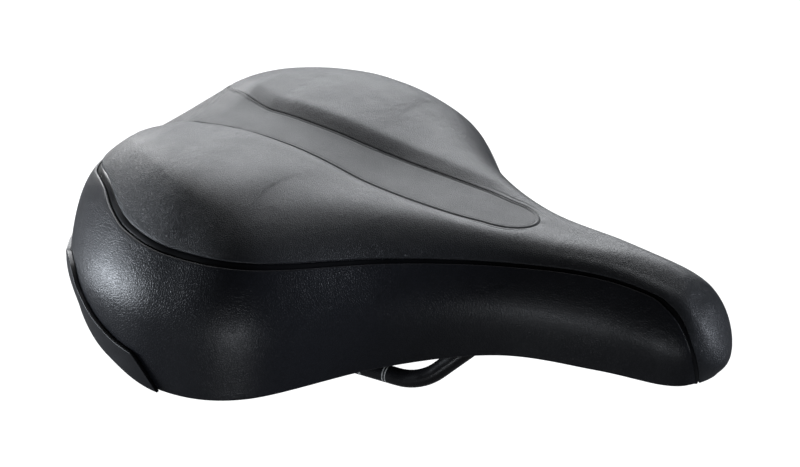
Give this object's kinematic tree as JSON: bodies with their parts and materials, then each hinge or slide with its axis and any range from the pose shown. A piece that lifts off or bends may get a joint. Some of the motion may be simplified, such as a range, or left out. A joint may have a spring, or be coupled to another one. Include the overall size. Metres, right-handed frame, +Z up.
{
  "type": "bicycle saddle",
  "caption": "Wide padded comfort bicycle saddle with a sunken centre channel, deep side covers, rear guard and black steel rails, hinged at the nose on rubber elastomers.",
  "frame": {"origin": "middle of the seatpost clamp zone, on the plane through both rails' centre lines", "axes": "+X to the nose, +Y to the rider's left, +Z up"},
  "size_m": [0.2731, 0.1932, 0.0904],
  "materials": {
    "rail_paint": "gloss black paint over steel wire",
    "bridge_paint": "satin black paint",
    "elastomer": "matt rubber",
    "shell_plastic": "moulded, matt",
    "foam": "open-cell foam",
    "top_leather": "satin synthetic leather, fine grain",
    "strip_leather": "satin synthetic leather, fine grain",
    "side_leather": "semi-gloss synthetic leather, pebbled grain",
    "welt": "gloss black",
    "guard_plastic": "satin moulded plastic",
    "nylon_black": "glass-filled nylon",
    "nylon_white": "natural nylon",
    "zinc_steel": "bright zinc plate"
  },
  "bodies": {
    "rails": {"rail_wire": "rail_paint", "rear_bridge": "bridge_paint", "elastomer_left": "elastomer", "elastomer_right": "elastomer"},
    "saddle": {"base_shell": "shell_plastic", "foam_pad": "foam", "cover_top": "top_leather", "cover_channel": "strip_leather", "cover_side_left": "side_leather", "cover_side_right": "side_leather", "seam_welt": "welt", "rear_guard": "guard_plastic", "guard_screws": "zinc_steel", "nose_socket": "nylon_black", "nose_cap": "nylon_black", "nose_bush": "nylon_white", "nose_cap_screws": "zinc_steel", "nose_rivets": "zinc_steel", "elastomer_cups": "nylon_black", "cup_rivets": "zinc_steel", "elastomer_bolts": "zinc_steel", "bolt_washers": "zinc_steel"}
  },
  "joints": [
    {"name": "suspension", "type": "hinge", "parent": "rails", "child": "saddle", "pos_m": [0.124, 0, 0.034], "axis": [0, -1, 0], "range_deg": [0, 2], "stiffness_Nm_per_rad": 2000, "deforming": ["elastomer_left", "elastomer_right"]}
  ]
}
